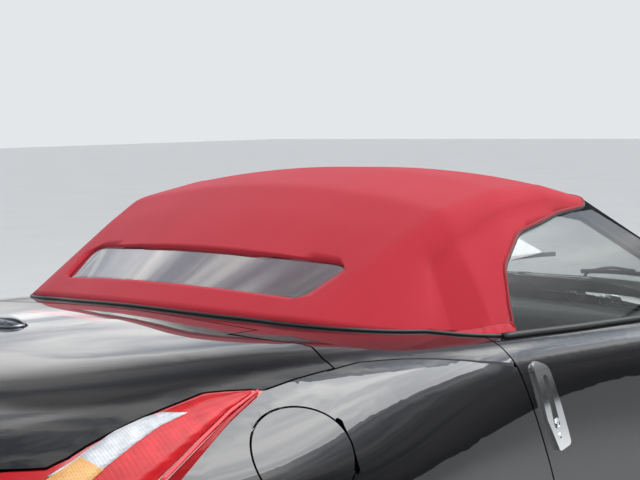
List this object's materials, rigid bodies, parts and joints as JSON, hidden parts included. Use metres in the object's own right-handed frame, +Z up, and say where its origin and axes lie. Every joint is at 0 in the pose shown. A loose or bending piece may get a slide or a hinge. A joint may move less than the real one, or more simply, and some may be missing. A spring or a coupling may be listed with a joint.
{
  "type": "convertible car",
  "caption": "Open sports car with a folding fabric top, long bonnet and short tail; wheels, steering, doors, bonnet, boot lid and fuel flap move.",
  "frame": {"origin": "on the ground under the middle of the car's length and width", "axes": "+X forward, +Y to the car's left, +Z up"},
  "size_m": [4.246, 2.02, 1.326],
  "materials": {
    "paint": "black gloss",
    "fabric": "woven red",
    "underside": "black",
    "steel": "dark",
    "alloy": "silver",
    "tyre": "black",
    "glass": "clear",
    "lamp_red": "red lens",
    "lamp_clear": "clear lens",
    "trim": "black",
    "leather": "black",
    "chrome": "polished",
    "exhaust": "steel"
  },
  "bodies": {
    "car_body": {"storage_lid": "paint", "front_bumper": "paint", "rear_bumper": "paint", "front_fenders": "paint", "rear_quarters": "paint", "sills": "paint", "underbody": "underside", "floor_skin": "underside", "tail_lamps": "lamp_red", "headlamps": "lamp_clear", "wheel_liners": "underside", "screen_frame": "paint", "windscreen": "glass", "soft_top": "fabric", "rear_window": "glass", "top_frame": "steel", "front_subframe": "steel", "rear_subframe": "steel", "engine": "steel", "exhaust": "exhaust", "seats": "leather", "dashboard": "trim", "grille": "trim"},
    "door_left": {"door_left": "paint", "glass_left": "glass", "mirror_left": "paint", "handle_left": "chrome"},
    "door_right": {"door_right": "paint", "glass_right": "glass", "mirror_right": "paint", "handle_right": "chrome"},
    "bonnet": {"bonnet": "paint"},
    "boot_lid": {"boot_lid": "paint", "stop_lamp": "lamp_red"},
    "fuel_flap": {"fuel_flap": "paint"},
    "steering_wheel": {"steering_wheel": "leather"},
    "knuckle_left": {"knuckle_left": "steel"},
    "knuckle_right": {"knuckle_right": "steel"},
    "wheel_front_left": {"rim_front_left": "alloy", "tyre_front_left": "tyre"},
    "wheel_front_right": {"rim_front_right": "alloy", "tyre_front_right": "tyre"},
    "wheel_rear_left": {"rim_rear_left": "alloy", "tyre_rear_left": "tyre"},
    "wheel_rear_right": {"rim_rear_right": "alloy", "tyre_rear_right": "tyre"}
  },
  "joints": [
    {"name": "steer_left", "type": "hinge", "parent": "car_body", "child": "knuckle_left", "pos_m": [1.297, 0.7, 0.339], "axis": [0, 0, 1], "range_deg": [-33, 33]},
    {"name": "steer_right", "type": "hinge", "parent": "car_body", "child": "knuckle_right", "pos_m": [1.297, -0.7, 0.339], "axis": [0, 0, 1], "range_deg": [-33, 33]},
    {"name": "spin_front_left", "type": "hinge", "parent": "knuckle_left", "child": "wheel_front_left", "pos_m": [1.297, 0.77, 0.339], "axis": [0, 1, 0], "continuous": true},
    {"name": "spin_front_right", "type": "hinge", "parent": "knuckle_right", "child": "wheel_front_right", "pos_m": [1.297, -0.77, 0.339], "axis": [0, 1, 0], "continuous": true},
    {"name": "spin_rear_left", "type": "hinge", "parent": "car_body", "child": "wheel_rear_left", "pos_m": [-1.253, 0.776, 0.339], "axis": [0, 1, 0], "continuous": true},
    {"name": "spin_rear_right", "type": "hinge", "parent": "car_body", "child": "wheel_rear_right", "pos_m": [-1.253, -0.776, 0.339], "axis": [0, 1, 0], "continuous": true},
    {"name": "door_left_hinge", "type": "hinge", "parent": "car_body", "child": "door_left", "pos_m": [0.42, 0.835, 0.6], "axis": [0, 0, -1], "range_deg": [0, 62]},
    {"name": "door_right_hinge", "type": "hinge", "parent": "car_body", "child": "door_right", "pos_m": [0.42, -0.835, 0.6], "axis": [0, 0, 1], "range_deg": [0, 62]},
    {"name": "bonnet_hinge", "type": "hinge", "parent": "car_body", "child": "bonnet", "pos_m": [0.793, 0, 0.865], "axis": [0, -1, 0], "range_deg": [0, 50]},
    {"name": "boot_hinge", "type": "hinge", "parent": "car_body", "child": "boot_lid", "pos_m": [-1.258, 0, 0.94], "axis": [0, 1, 0], "range_deg": [0, 50]},
    {"name": "flap_hinge", "type": "hinge", "parent": "car_body", "child": "fuel_flap", "pos_m": [-1.302, -0.87299, 0.80921], "axis": [0, 0.4483, 0.8939], "range_deg": [0, 80]},
    {"name": "steering_turn", "type": "hinge", "parent": "car_body", "child": "steering_wheel", "pos_m": [0.13, 0.385, 0.845], "axis": [-0.9136, 0, 0.4067], "range_deg": [-495, 495]}
  ],
  "couplings": [
    {"joint": "steer_right", "follows": "steer_left", "ratio": 1},
    {"joint": "steering_turn", "follows": "steer_left", "ratio": 15}
  ]
}
